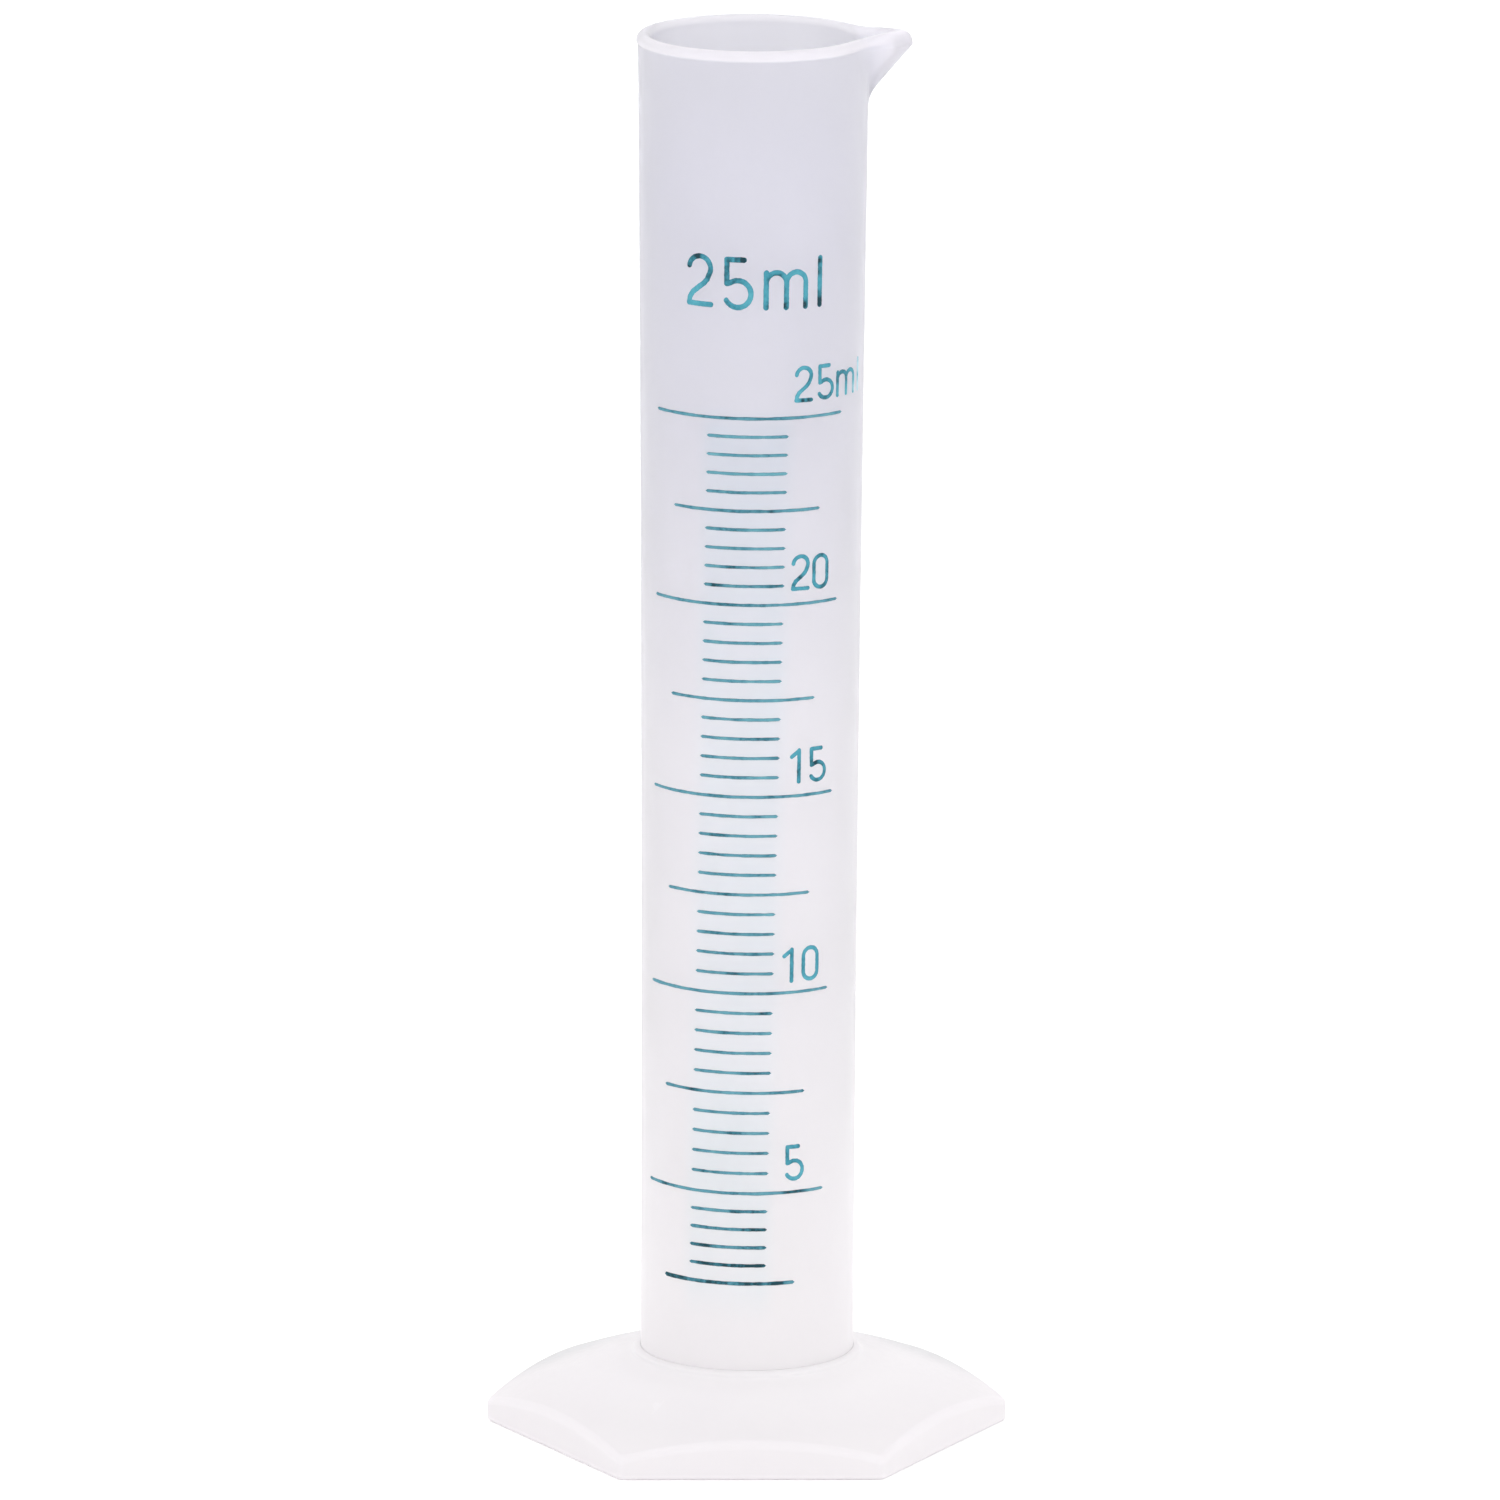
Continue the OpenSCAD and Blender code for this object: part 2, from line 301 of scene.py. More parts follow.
# ------------------------------------------------------------------ the foot
def hex_r(theta, corner, rounding):
    """Distance from the axis to a hexagon with rounded corners at 0, 60, ... degrees."""
    t = (theta + 30 * DEG) % (60 * DEG) - 30 * DEG
    sharp = corner - rounding          # the offset circle's centres lie here
    apothem = sharp * math.cos(30 * DEG) + rounding
    cx = sharp
    r_flat = apothem / math.cos(30 * DEG - abs(t))
    # the round corner spans the normals from -30 to 30 degrees about its centre
    b = cx * math.cos(t)
    disc = b * b - (cx * cx - rounding * rounding)
    if disc >= 0:
        r = b + math.sqrt(disc)
        a = math.atan2(r * math.sin(abs(t)), r * math.cos(t) - cx)
        if a <= 30 * DEG + 1e-9:
            return r
    return r_flat


def dome_z(r, drop=0.0):
    return DOME_TOP - DOME_R + math.sqrt(max(0.0, (DOME_R - drop) ** 2 - r * r))


def foot_thetas():
    out = []
    sharp = FOOT_C - FOOT_CR
    edge = math.atan2(FOOT_CR * math.sin(30 * DEG), sharp + FOOT_CR * math.cos(30 * DEG)) / DEG
    for k in range(6):
        m = 60.0 * k
        local = [edge * i / 5.0 for i in range(-5, 6)]
        n = 22
        local += [edge + (60 - 2 * edge) * i / n for i in range(1, n)]
        out += [(m + a) * DEG for a in local]
    return sorted(out)


def foot_column(theta):
    c, s = math.cos(theta), math.sin(theta)
    pts = []
    # mouth of the socket, eased, then the collar and its hollow blend on to the dome
    pts += [(SOCKET_R, 4.6), (SOCKET_R, COLLAR_Z - 0.02), (SOCKET_R + 0.01, COLLAR_Z - 0.004)]
    outer = SOCKET_R + 0.74
    a0 = 35 * DEG
    wide, tall = 0.71 / (1 - math.sin(a0)), 0.46 / math.cos(a0)
    for i in range(0, 9):
        a = a0 + (math.pi / 2 - a0) * i / 8.0
        pts.append((outer - wide * (1 - math.sin(a)), COLLAR_Z - tall * (math.cos(a0) - math.cos(a))))
    r0, z0 = outer, COLLAR_Z - 0.52
    r1 = 12.75
    z1 = dome_z(r1)
    slope = -r1 / math.sqrt(DOME_R ** 2 - r1 * r1)
    for i in range(1, 12):
        t = i / 12.0
        # from straight down at the collar to the dome's own slope
        p0, p1 = (r0, z0), (r1, z1)
        m0, m1 = (0.3, -0.95), (2.1, 2.1 * slope)
        h00, h10 = 2 * t ** 3 - 3 * t ** 2 + 1, t ** 3 - 2 * t ** 2 + t
        h01, h11 = -2 * t ** 3 + 3 * t ** 2, t ** 3 - t ** 2
        pts.append((h00 * p0[0] + h10 * m0[0] + h01 * p1[0] + h11 * m1[0],
                    h00 * p0[1] + h10 * m0[1] + h01 * p1[1] + h11 * m1[1]))
    rh = hex_r(theta, FOOT_C, FOOT_CR)
    bev = 0.8
    zt = dome_z(rh - bev)
    n = 18
    for i in range(0, n + 1):
        t = i / n
        r = r1 + (rh - bev - r1) * t
        pts.append((r, dome_z(r)))
    # rounded edge between dome and skirt
    a0 = math.atan2(rh - bev, math.sqrt(DOME_R ** 2 - (rh - bev) ** 2))
    for i in range(1, 6):
        a = a0 + (math.pi / 2 - a0) * i / 5.0
        k = (math.sin(a) - math.sin(a0)) / (1 - math.sin(a0))
        pts.append((rh - bev + bev * k, zt - 0.02 - bev * 0.9 * (1 - math.cos(math.pi / 2 * i / 5.0)) - 0.12 * i / 5.0))
    zb = pts[-1][1]
    low = 0.42
    for i in range(1, 13):
        z = zb + (low - zb) * i / 12.0
        pts.append((rh, z))
    for i in range(1, 4):
        a = math.pi / 2 * i / 3.0
        pts.append((rh - low + low * math.cos(a), low - low * math.sin(a)))
    ri = hex_r(theta, FOOT_C - FOOT_WALL / math.cos(30 * DEG) + 0.08, 0.6)
    for i in range(0, 3):
        a = math.pi / 2 * i / 2.0
        pts.append((ri + 0.15 - 0.15 * math.sin(a), 0.15 - 0.15 * math.cos(a)))
    zi = dome_z(ri - 0.5, FOOT_WALL)
    for i in range(1, 4):
        t = i / 3.0
        pts.append((ri, 0.15 + (zi - 0.45 - 0.15) * t))
    for i in range(1, 4):
        a = math.pi / 2 * i / 3.0
        pts.append((ri - 0.5 * (1 - math.cos(a)), zi - 0.45 + 0.45 * math.sin(a)))
    boss = SOCKET_R + FOOT_WALL
    rr = boss + 0.9
    for i in range(1, 13):
        t = i / 12.0
        r = ri - 0.5 + (rr - (ri - 0.5)) * t
        pts.append((r, dome_z(r, FOOT_WALL)))
    zt2 = dome_z(rr, FOOT_WALL)
    for i in range(1, 6):
        a = math.pi / 2 * i / 5.0
        pts.append((rr - 0.9 * math.sin(a), zt2 - 0.9 * (1 - math.cos(a))))
    for i in range(1, 4):
        t = i / 3.0
        pts.append((boss, zt2 - 0.9 + (BOSS_Z + 0.25 - (zt2 - 0.9)) * t))
    for i in range(1, 4):
        a = math.pi / 2 * i / 3.0
        pts.append((boss - 0.25 + 0.25 * math.cos(a), BOSS_Z + 0.25 - 0.25 * math.sin(a)))
    for i in range(1, 5):
        pts.append((boss - 0.25 + (LEDGE_R + 0.2 - (boss - 0.25)) * i / 4.0, BOSS_Z))
    for i in range(1, 4):
        a = math.pi / 2 * i / 3.0
        pts.append((LEDGE_R + 0.2 - 0.2 * math.sin(a), BOSS_Z + 0.2 - 0.2 * math.cos(a)))
    for i in range(0, 4):
        a = math.pi / 2 * i / 3.0
        pts.append((LEDGE_R + 0.2 - 0.2 * math.cos(a), SEAT_Z - 0.2 + 0.2 * math.sin(a)))
    for i in range(1, 5):
        pts.append((LEDGE_R + 0.2 + (SOCKET_R - 0.1 - LEDGE_R - 0.2) * i / 4.0, SEAT_Z))
    pts.append((SOCKET_R, SEAT_Z + 0.1))
    return [(r * c, r * s, z) for r, z in pts]


# ------------------------------------------------------------------ the printed scale
LOW_PITCH = 1.8
LINE_W = 0.31
LONG_ARC, HALF_ARC, FINE_ARC = 109.5, 81.5, 42.8
SCALE_TURN, SCALE_LEAN, SCALE_TILT = -3.1, 0.113, 0.45
INK_T = 0.034
INK_GAP = 0.003


def bore_ml(z):
    a, q, L, p = BORE_R, RIM_R - WALL - BORE_R, RIM_Z - SEAT_TOP, BORE_P
    s = max(0.0, z - SEAT_TOP) / L
    v = math.pi * (a * a * (z - FLOOR_Z) + 2 * a * q * L * s ** (p + 1) / (p + 1) + q * q * L * s ** (2 * p + 1) / (2 * p + 1))
    return v / 1000 - (2 - math.pi / 2) * math.pi * FILLET ** 2 * (a - 0.22 * FILLET) / 2 / 1000


def height_of(ml):
    lo, hi = FLOOR_Z, RIM_Z
    for _ in range(40):
        mid = (lo + hi) / 2
        if bore_ml(mid) < ml:
            lo = mid
        else:
            hi = mid
    return (lo + hi) / 2


Z5, Z25 = height_of(5), height_of(25)


def line_z(ml):
    return height_of(ml) if ml >= 5 else Z5 - (5 - ml) * 2 * LOW_PITCH


def scale_az(z):
    return SCALE_TURN - (Z25 - z) * SCALE_LEAN


def on_wall(u_deg, z, lift):
    """A point on the wall at angle u_deg from -Y towards +X."""
    a = (-90 + u_deg) * DEG
    r = tube_r(z) + lift
    return (r * math.cos(a), r * math.sin(a), z)


def wobble(seed, x, scale):
    return noise.noise(Vector((x / scale, seed * 7.31, seed * 1.7)))


def ink_line(verts, faces, loads, ml, arc, seed, shift=0.0, fat=0.0):
    """One screen-printed line: a thin closed ribbon with soft ends and a slightly uneven edge."""
    z0 = line_z(ml)
    az = scale_az(z0)
    r = tube_r(z0)
    half_len = arc / 2 * DEG * r
    n = max(24, int(2 * half_len / 0.22))
    rows = []
    across = 6
    for i in range(n + 1):
        t = -1 + 2 * i / n
        # closer points at the rounded ends
        x = half_len * math.sin(math.pi / 2 * t) * 0.12 + half_len * t * 0.88
        edge = max(0.0, 1 - (half_len - abs(x)) / 0.16)
        w = LINE_W / 2 * math.sqrt(max(0.0, 1 - edge * edge))
        w *= 1 + 0.16 * wobble(seed, x, 0.55) + 0.12 * wobble(seed + 50, x, 2.4)
        w *= 1 + fat * max(0.0, -t) + 0.12 * smooth(5.2, 2.8, ml)
        w = max(w, 0.004)
        mid = 0.018 * wobble(seed + 90, x, 1.3)
        u = az + shift + x / r / DEG
        zz = z0 + mid - math.tan(SCALE_TILT * DEG) * r * math.sin(x / r)
        ring = []
        for k in range(across + 1):
            s = -1 + 2 * k / across
            lift = INK_GAP + INK_T * (1 - 0.85 * s ** 4)
            ring.append(on_wall(u, zz + w * s, lift))
        for k in range(across, -1, -1):
            s = -1 + 2 * k / across
            if abs(s) < 1:
                ring.append(on_wall(u, zz + w * s, INK_GAP))
        rows.append(ring)
    base = len(verts)
    m = len(rows[0])
    heavy = 0.95 * smooth(5.2, 2.5, ml) + 0.25 * max(0.0, wobble(seed + 13, 0.3, 1.0)) * 2
    for i, ring in enumerate(rows):
        verts.extend(ring)
        t = -1 + 2 * i / n
        # the squeegee starts at the left, where the ink is heaviest on some lines, and starves at the right
        here = heavy * (0.8 - 0.35 * t) + 0.5 * max(0.0, wobble(seed + 31, t * 3.0, 1.0)) - 0.18 * smooth(0.75, 1.0, abs(t))
        loads.extend([here] * m)
    for i in range(n):
        for k in range(m):
            k2 = (k + 1) % m
            faces.append([base + i * m + k, base + i * m + k2, base + (i + 1) * m + k2, base + (i + 1) * m + k])
    faces.append([base + k for k in range(m)])
    faces.append([base + n * m + k for k in reversed(range(m))])


# glyphs as strokes: ("bar", p, q) and ("arc", centre, r, a0, a1), in mm, for height h and stroke w
def glyph(ch, h, w):
    e = w / 2
    out = []
    if ch == "0":
        r = 0.285 * h - e
        for x in (e, e + 2 * r):
            out.append(("bar", (x, e + r), (x, h - e - r)))
        out.append(("arc", (e + r, h - e - r), r, 0, 180))
        out.append(("arc", (e + r, e + r), r, 180, 360))
    elif ch == "1":
        out.append(("bar", (0.30 * h, e), (0.30 * h, h - e)))
        out.append(("bar", (0.08 * h, 0.77 * h), (0.30 * h, h - 1.2 * e)))
    elif ch == "2":
        pts = [(0.473, 0.6195), (0.436, 0.53), (0.372, 0.455), (0.255, 0.365), (0.135, 0.272), (0.073, 0.17), (0.052, 0.06), (0.512, 0.055)]
        out.append(("arc", (0.280 * h, 0.735 * h), 0.225 * h, -31, 172))
        for a, b in zip(pts, pts[1:]):
            out.append(("bar", (a[0] * h, a[1] * h), (b[0] * h, b[1] * h)))
    elif ch == "5":
        out.append(("bar", (0.072 * h, 0.945 * h), (0.40 * h, 0.945 * h)))
        out.append(("bar", (0.072 * h, 0.945 * h), (0.075 * h, 0.495 * h)))
        out.append(("bar", (0.075 * h, 0.495 * h), (0.141 * h, 0.513 * h)))
        out.append(("arc", (0.285 * h, 0.308 * h), 0.25 * h, -150, 125))
    elif ch == "m":
        r = 0.196 * h
        top = 0.745 * h - e
        out.append(("bar", (e, e), (e, top)))
        for i in (1, 2):
            out.append(("bar", (e + 2 * r * i, e), (e + 2 * r * i, top - r)))
        for i in (0, 1):
            out.append(("arc", (e + r + 2 * r * i, top - r), r, 0, 180))
    elif ch == "l":
        out.append(("bar", (e, e), (e, 0.96 * h - e)))
    return out


ADVANCE = {"1": 0.58, "m": 1.06, "l": 0.3}


def advance(ch):
    return ADVANCE.get(ch, 0.72)


def stroke_distance(strokes, x, y):
    best = 1e9
    for s in strokes:
        if s[0] == "bar":
            (x0, y0), (x1, y1) = s[1], s[2]
            dx, dy = x1 - x0, y1 - y0
            t = max(0.0, min(1.0, ((x - x0) * dx + (y - y0) * dy) / (dx * dx + dy * dy)))
            d = math.hypot(x - x0 - t * dx, y - y0 - t * dy)
        else:
            (cx, cy), r, a0, a1 = s[1], s[2], s[3], s[4]
            a = math.atan2(y - cy, x - cx) / DEG
            mid, span = (a0 + a1) / 2, (a1 - a0) / 2
            da = (a - mid + 180) % 360 - 180
            if abs(da) <= span:
                d = abs(math.hypot(x - cx, y - cy) - r)
            else:
                d = min(math.hypot(x - cx - r * math.cos(q * DEG), y - cy - r * math.sin(q * DEG)) for q in (a0, a1))
        if d < best:
            best = d
    return best


def ink_glyph(verts, faces, loads, ch, h, w, az_c, z_c, seed, step, pools, tall):
    """A glyph as one closed skin on the wall. Its outline is the zero line of a distance field, so strokes merge without
    crossing faces, and a little noise on the field gives the soft uneven edge of screen-printed ink."""
    strokes = glyph(ch, h, w)
    half = advance(ch) * h / 2
    r_wall = tube_r(z_c + h / 2)
    tilt = -SCALE_TILT * DEG
    x_lo, x_hi, y_lo, y_hi = -0.25, advance(ch) * h + 0.15, -0.25, h + 0.25
    nx, ny = int((x_hi - x_lo) / step) + 1, int((y_hi - y_lo) / step) + 1

    def field(x, y):
        d = w / 2 - stroke_distance(strokes, x, y)
        d += 0.022 * noise.noise(Vector((x / 0.28 + seed, y / 0.28, seed * 3.1)))
        d += 0.018 * noise.noise(Vector((x / 0.9 + seed, y / 0.9, seed * 5.7)))
        return d

    f = [[field(x_lo + i * step, y_lo + j * step) for j in range(ny)] for i in range(nx)]
    top, bottom, edge_pt = {}, {}, {}

    def place(x, y, lift):
        xr = (x - half) * math.cos(tilt) - y * tall * math.sin(tilt)
        yr = (x - half) * math.sin(tilt) + y * tall * math.cos(tilt)
        return on_wall(az_c + xr / r_wall / DEG, z_c + yr, lift)

    def add(x, y, d):
        """Index of the point on the skin's top; the one under it has the next index."""
        key = (round(x, 5), round(y, 5))
        if key not in top:
            lift = INK_T * (0.3 + 0.7 * smooth(0.0, w * 0.28, d))
            top[key] = len(verts)
            verts.append(place(x, y, INK_GAP + lift))
            verts.append(place(x, y, INK_GAP))
            wet = 0.0
            for px, py, k, r in pools:
                here = k * math.exp(-((x - px * h) ** 2 + (y - py * h) ** 2) / (r * h) ** 2)
                wet = here if abs(here) > abs(wet) else wet
            loads.extend([wet, wet])
        return top[key]

    sides = {}

    def corner(p):
        if p[0] == "n":
            return add(x_lo + p[1] * step, y_lo + p[2] * step, f[p[1]][p[2]])
        _, i0, j0, i1, j1 = p
        a, b = f[i0][j0], f[i1][j1]
        t = min(0.96, max(0.04, a / (a - b)))
        return add(x_lo + (i0 + (i1 - i0) * t) * step, y_lo + (j0 + (j1 - j0) * t) * step, 0.0)

    for i in range(nx - 1):
        for j in range(ny - 1):
            cs = [(i, j), (i + 1, j), (i + 1, j + 1), (i, j + 1)]
            ins = [f[a][b] > 0 for a, b in cs]
            if not any(ins):
                continue
            poly = []
            for k in range(4):
                a, b = cs[k], cs[(k + 1) % 4]
                if ins[k]:
                    poly.append(("n", a[0], a[1]))
                if ins[k] != ins[(k + 1) % 4]:
                    p, q = (a, b) if ins[k] else (b, a)
                    poly.append(("e", p[0], p[1], q[0], q[1]))
            ids = [corner(p) for p in poly]
            ids = [v for n_, v in enumerate(ids) if v != ids[n_ - 1]]
            if len(ids) < 3:
                continue
            faces.append(list(ids))
            faces.append([v + 1 for v in reversed(ids)])
            for n_ in range(len(ids)):
                a, b = ids[n_], ids[(n_ + 1) % len(ids)]
                if (b, a) in sides:
                    del sides[(b, a)]
                else:
                    sides[(a, b)] = True
    for a, b in sides:
        faces.append([b, a, a + 1, b + 1])


def ink_word(verts, faces, loads, word, places, z, h, w, seed, step, pools={}):
    """A word on the wall. places gives each glyph's left edge, in mm round the wall from the middle of the scale, how far it
    stands above z and how much it is stretched upwards. pools gives, for a glyph, the spots where the ink is thick, or starved
    where negative: x, y, strength and radius for height 1."""
    r = tube_r(z + h / 2)
    for i, (ch, (x, up, tall)) in enumerate(zip(word, places)):
        half = advance(ch) * h / 2
        az = scale_az(z) + (x + half) / r / DEG
        ink_glyph(verts, faces, loads, ch, h, w, az, z + up, seed + i * 11.3, step, pools.get(i, ()), tall)


# ------------------------------------------------------------------ materials
def nodes_of(name):
    m = bpy.data.materials.new(name)
    m.use_nodes = True
    nt = m.node_tree
    bsdf = next(n for n in nt.nodes if n.type == "BSDF_PRINCIPLED")
    return m, nt, nt.nodes, nt.links, bsdf


def ramp(nodes, stops, kind="LINEAR"):
    r = nodes.new("ShaderNodeValToRGB")
    r.color_ramp.interpolation = kind
    els = r.color_ramp.elements
    while len(els) < len(stops):
        els.new(0.5)
    for e, (p, c) in zip(els, stops):
        e.position = p
        e.color = (*c, 1.0) if len(c) == 3 else c
    return r


def texture(nodes, links, kind, scale, coord, detail=3.0, stretch=(1, 1, 1), rough=0.5):
    mp = nodes.new("ShaderNodeMapping")
    mp.inputs["Scale"].default_value = stretch
    links.new(coord, mp.inputs["Vector"])
    t = nodes.new(kind)
    t.inputs["Scale"].default_value = scale
    if "Detail" in t.inputs:
        t.inputs["Detail"].default_value = detail
    if "Roughness" in t.inputs:
        t.inputs["Roughness"].default_value = rough
    links.new(mp.outputs["Vector"], t.inputs["Vector"])
    return t


def math_node(nodes, links, op, a, b=None, clamp=False):
    n = nodes.new("ShaderNodeMath")
    n.operation = op
    n.use_clamp = clamp
    for k, v in enumerate((a, b)):
        if v is None:
            continue
        if isinstance(v, (int, float)):
            n.inputs[k].default_value = v
        else:
            links.new(v, n.inputs[k])
    return n.outputs[0]


def ink_haze(N, L, sep, colour, cloud):
    """A faint bloom of thin ink that the screen leaves between the short lines of the scale, fading out at its sides."""
    turn = math_node(N, L, "MULTIPLY", math_node(N, L, "ARCTAN2", sep.outputs["X"], math_node(N, L, "MULTIPLY", sep.outputs["Y"], -1.0)), 180 / math.pi)
    # middle of the scale, in degrees, at this height
    mid = math_node(N, L, "ADD", math_node(N, L, "MULTIPLY", sep.outputs["Z"], 1000 * SCALE_LEAN), SCALE_TURN - Z25 * SCALE_LEAN)
    off = math_node(N, L, "ABSOLUTE", math_node(N, L, "SUBTRACT", turn, mid))
    masks = []
    for value, a, b, lo, hi in ((off, 17.0, 29.0, 1.0, 0.0), (sep.outputs["Z"], 0.012, 0.0165, 0.0, 1.0), (sep.outputs["Z"], 0.1, 0.1035, 1.0, 0.0),
                                (cloud.outputs[0], 0.3, 0.7, 0.45, 1.0)):
        m = N.new("ShaderNodeMapRange")
        m.interpolation_type = "SMOOTHSTEP"
        for key, x in (("From Min", a), ("From Max", b), ("To Min", lo), ("To Max", hi)):
            m.inputs[key].default_value = x
        L.new(value, m.inputs["Value"])
        masks.append(m.outputs[0])
    k = masks[0]
    for m in masks[1:]:
        k = math_node(N, L, "MULTIPLY", k, m)
    t = N.new("ShaderNodeMix")
    t.data_type = "RGBA"
    t.blend_type = "MULTIPLY"
    L.new(math_node(N, L, "MULTIPLY", k, 1.0), t.inputs["Factor"])
    L.new(colour, t.inputs[6])
    t.inputs[7].default_value = (0.932, 0.987, 1.0, 1.0)
    return t.outputs[2]


def polypropylene(name, stops, clarity, z1, roughness, absorb, painted_edge_band, painted_edge_amount, printed=False, gloss=0.15):
    """Natural polypropylene: clear to milky, with a faint cloudiness, slow ripples from the mould and fine handling scratches."""
    m, nt, N, L, b = nodes_of(name)
    tc = N.new("ShaderNodeTexCoord")
    obj = tc.outputs["Object"]
    sep = N.new("ShaderNodeSeparateXYZ")
    L.new(obj, sep.inputs[0])
    g = N.new("ShaderNodeMapRange")
    g.inputs["From Min"].default_value = 0.0
    g.inputs["From Max"].default_value = z1
    g.clamp = True
    L.new(sep.outputs["Z"], g.inputs["Value"])
    cloud = texture(N, L, "ShaderNodeTexNoise", 110.0, obj, 4.0, (1, 1, 0.6), 0.6)
    haze = texture(N, L, "ShaderNodeTexNoise", 34.0, obj, 2.0, (1, 1, 0.5))
    # colour by height from the stops: the plastic's own tint mixed with painted light, the wall made lighter or darker
    # at some heights for how the light falls there
    height_tint_and_light = ramp(N, stops)
    L.new(g.outputs[0], height_tint_and_light.inputs[0])
    both = math_node(N, L, "ADD", math_node(N, L, "MULTIPLY", cloud.outputs[0], 0.55), math_node(N, L, "MULTIPLY", haze.outputs[0], 0.45))
    shade = ramp(N, [(0.36, (0.974, 0.971, 0.978)), (0.64, (1.0, 1.0, 1.0))])
    L.new(both, shade.inputs[0])
    mul = N.new("ShaderNodeMix")
    mul.data_type = "RGBA"
    mul.blend_type = "MULTIPLY"
    mul.inputs["Factor"].default_value = 1.0
    L.new(height_tint_and_light.outputs[0], mul.inputs[6])
    L.new(shade.outputs[0], mul.inputs[7])
    # moulded edges and the lip catch more light than the flats do, so they are whitened in the colour as a painted
    # highlight
    geo = N.new("ShaderNodeNewGeometry")
    edge = N.new("ShaderNodeMapRange")
    edge.interpolation_type = "SMOOTHSTEP"
    edge.inputs["From Min"].default_value = 0.505
    edge.inputs["From Max"].default_value = 0.516
    L.new(geo.outputs["Pointiness"], edge.inputs["Value"])
    # the solid nose of the spout is milkier than the wall
    nose = N.new("ShaderNodeMapRange")
    nose.interpolation_type = "SMOOTHSTEP"
    nose.inputs["From Min"].default_value = 0.0106
    nose.inputs["From Max"].default_value = 0.0135
    nose.inputs["To Max"].default_value = 0.5 if printed else 0.0
    L.new(sep.outputs["X"], nose.inputs["Value"])
    # the height band, and its strength, where edges get the painted highlight and creases the painted shade
    where = N.new("ShaderNodeMapRange")
    where.interpolation_type = "SMOOTHSTEP"
    where.inputs["From Min"].default_value = painted_edge_band[0]
    where.inputs["From Max"].default_value = painted_edge_band[1]
    where.inputs["To Max"].default_value = painted_edge_amount
    L.new(sep.outputs["Z"], where.inputs["Value"])
    # painted shade: concave creases in the edge band, such as the step under the lip, are darkened in the colour
    crease_shade_mask = N.new("ShaderNodeMapRange")
    crease_shade_mask.interpolation_type = "SMOOTHSTEP"
    crease_shade_mask.inputs["From Min"].default_value = 0.497
    crease_shade_mask.inputs["From Max"].default_value = 0.482
    L.new(geo.outputs["Pointiness"], crease_shade_mask.inputs["Value"])
    crease_shade = N.new("ShaderNodeMix")
    crease_shade.data_type = "RGBA"
    crease_shade.blend_type = "MULTIPLY"
    L.new(math_node(N, L, "MULTIPLY", crease_shade_mask.outputs[0], where.outputs[0]), crease_shade.inputs["Factor"])
    L.new(mul.outputs[2], crease_shade.inputs[6])
    crease_shade.inputs[7].default_value = (0.87, 0.87, 0.87, 1.0)
    # painted highlight: the lip's whitening is strongest on the side of the scale, which faces the camera and lamps,
    # and weaker on the far side
    side = N.new("ShaderNodeMapRange")
    side.interpolation_type = "SMOOTHSTEP"
    side.inputs["From Min"].default_value = 0.006
    side.inputs["From Max"].default_value = -0.006
    side.inputs["To Min"].default_value = 0.35 if printed else 1.0
    L.new(sep.outputs["Y"], side.inputs["Value"])
    lip_highlight = math_node(N, L, "MULTIPLY", math_node(N, L, "MULTIPLY", edge.outputs[0], where.outputs[0]), side.outputs[0])
    milky = math_node(N, L, "MAXIMUM", lip_highlight, nose.outputs[0])
    # whitening towards a paler colour: painted highlight on the lip and edges, milkier plastic on the spout's nose
    bright = N.new("ShaderNodeMix")
    bright.data_type = "RGBA"
    L.new(milky, bright.inputs["Factor"])
    L.new(crease_shade.outputs[2], bright.inputs[6])
    bright.inputs[7].default_value = (0.970, 0.940, 0.975, 1.0)
    skin = bright.outputs[2]
    if not printed:
        # painted shade: the foot's far half is made a little greyer in the colour, for the darker look it has seen
        # edge-on
        far = N.new("ShaderNodeMapRange")
        far.interpolation_type = "SMOOTHSTEP"
        far.inputs["From Min"].default_value = 0.0
        far.inputs["From Max"].default_value = 0.012
        L.new(sep.outputs["Y"], far.inputs["Value"])
        far_half_shade = N.new("ShaderNodeMix")
        far_half_shade.data_type = "RGBA"
        far_half_shade.blend_type = "MULTIPLY"
        L.new(far.outputs[0], far_half_shade.inputs["Factor"])
        L.new(skin, far_half_shade.inputs[6])
        far_half_shade.inputs[7].default_value = (0.91, 0.91, 0.915, 1.0)
        skin = far_half_shade.outputs[2]
        # painted shade: a little darker again along its two far slopes and far side, where its upper outline looks
        # darker
        ax = math_node(N, L, "MULTIPLY", math_node(N, L, "ABSOLUTE", sep.outputs["X"]), math.sqrt(3) / 2)
        slope = math_node(N, L, "ADD", ax, math_node(N, L, "MULTIPLY", sep.outputs["Y"], 0.5))
        hexd = math_node(N, L, "MAXIMUM", slope, sep.outputs["Y"])
        far_slope_shade_mask = None
        for value, lo, hi in ((hexd, 0.0135, 0.0195), (sep.outputs["Y"], 0.002, 0.009)):
            m1 = N.new("ShaderNodeMapRange")
            m1.interpolation_type = "SMOOTHSTEP"
            m1.inputs["From Min"].default_value = lo
            m1.inputs["From Max"].default_value = hi
            L.new(value, m1.inputs["Value"])
            far_slope_shade_mask = m1.outputs[0] if far_slope_shade_mask is None else math_node(N, L, "MULTIPLY", far_slope_shade_mask, m1.outputs[0])
        rim = N.new("ShaderNodeMix")
        rim.data_type = "RGBA"
        rim.blend_type = "MULTIPLY"
        L.new(far_slope_shade_mask, rim.inputs["Factor"])
        L.new(skin, rim.inputs[6])
        rim.inputs[7].default_value = (0.88, 0.90, 0.895, 1.0)
        skin = rim.outputs[2]
    if printed:
        skin = ink_haze(N, L, sep, skin, cloud)
